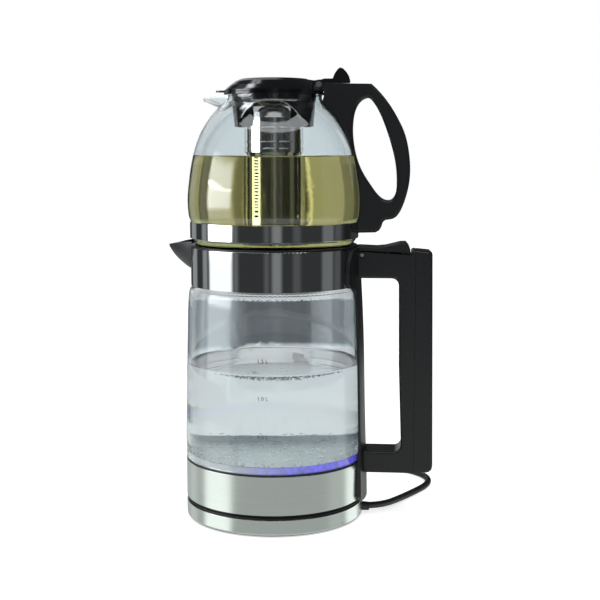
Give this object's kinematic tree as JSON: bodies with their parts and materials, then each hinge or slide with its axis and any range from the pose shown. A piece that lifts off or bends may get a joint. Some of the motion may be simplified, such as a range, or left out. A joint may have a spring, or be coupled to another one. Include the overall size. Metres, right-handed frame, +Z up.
{
  "type": "automatic tea maker",
  "caption": "Cordless glass kettle on a round steel power base, with a glass teapot, black handle, hinged lid and steel tea infuser standing on its collar.",
  "frame": {"origin": "on the floor under the centre of the round power base", "axes": "+Z up; +X from the axis towards both handles, so both spouts point along -X; the litre scale and the holder window face -Y"},
  "size_m": [0.2255, 0.2431, 0.3749],
  "materials": {
    "brushed_steel": "fine brushed",
    "plate_steel": "satin",
    "polished_steel": "polished",
    "black_plastic": "fine texture",
    "satin_black": "satin",
    "gloss_black": "gloss",
    "plug_plastic": "matte",
    "black_rubber": "matte",
    "silicone": "translucent",
    "glass": "clear",
    "light_guide": "frosted, lit blue-violet",
    "brass": "plain",
    "plated_brass": "nickel plated",
    "screw_steel": "zinc plated",
    "circuit_board": "green varnish",
    "aluminium": "cast"
  },
  "bodies": {
    "base": {"base_band": "brushed_steel", "base_tray": "black_plastic", "foot_ring": "black_rubber", "base_deck": "black_plastic", "base_connector": "black_plastic", "centre_contact": "brass", "ring_contact": "brass", "base_screws": "screw_steel", "strain_relief": "black_rubber", "mains_cord": "black_rubber", "cord_coil": "black_rubber", "cord_tail": "black_rubber", "plug_relief": "black_rubber", "plug_body": "plug_plastic", "plug_pins": "plated_brass"},
    "shutter": {"connector_shutter": "black_plastic"},
    "kettle": {"kettle_skirt": "black_plastic", "shell_band": "brushed_steel", "band_seal": "black_rubber", "kettle_glass": "glass", "light_ring": "light_guide", "led_board": "circuit_board", "heating_plate": "plate_steel", "plate_seal": "silicone", "heat_spreader": "aluminium", "heater_element": "aluminium", "thermostat": "black_plastic", "kettle_connector": "black_plastic", "connector_pin": "brass", "collar": "polished_steel", "neck_gasket": "silicone", "kettle_spout": "satin_black", "spout_filter": "plate_steel", "handle_frame": "satin_black", "grip_cover": "satin_black", "handle_screw": "screw_steel", "switch_pin": "screw_steel"},
    "switch": {"switch_lever": "satin_black"},
    "seat": {"seat_ring": "satin_black"},
    "teapot": {"pot_glass": "glass", "pot_band": "polished_steel", "band_screw": "screw_steel", "pot_handle": "satin_black", "hinge_pin": "screw_steel", "infuser_holder": "gloss_black"},
    "basket": {"infuser": "polished_steel", "infuser_basket": "polished_steel"},
    "lid": {"lid_cover": "gloss_black", "lid_liner": "gloss_black", "thumb_tab": "gloss_black"}
  },
  "joints": [
    {"name": "kettle_swivel", "type": "hinge", "parent": "base", "child": "shutter", "pos_m": [0, 0, 0.018], "axis": [0, 0, 1], "continuous": true},
    {"name": "kettle_lift", "type": "slide", "parent": "shutter", "child": "kettle", "axis": [0, 0, 1], "range_m": [0, 0.06]},
    {"name": "switch_rocker", "type": "hinge", "parent": "kettle", "child": "switch", "pos_m": [0.0739, 0, 0.2222], "axis": [0, 1, 0], "range_deg": [0, 2.5], "stiffness_Nm_per_rad": 0.05, "springref_deg": -6.88},
    {"name": "teapot_turn", "type": "hinge", "parent": "kettle", "child": "seat", "pos_m": [0, 0, 0.2285], "axis": [0, 0, 1], "continuous": true},
    {"name": "teapot_lift", "type": "slide", "parent": "seat", "child": "teapot", "axis": [0, 0, 1], "range_m": [0, 0.1]},
    {"name": "infuser_turn", "type": "hinge", "parent": "teapot", "child": "basket", "pos_m": [0, 0, 0.349], "axis": [0, 0, 1], "continuous": true},
    {"name": "lid_hinge", "type": "hinge", "parent": "teapot", "child": "lid", "pos_m": [0.0376, 0, 0.361], "axis": [0, 1, 0], "range_deg": [0, 60]}
  ]
}
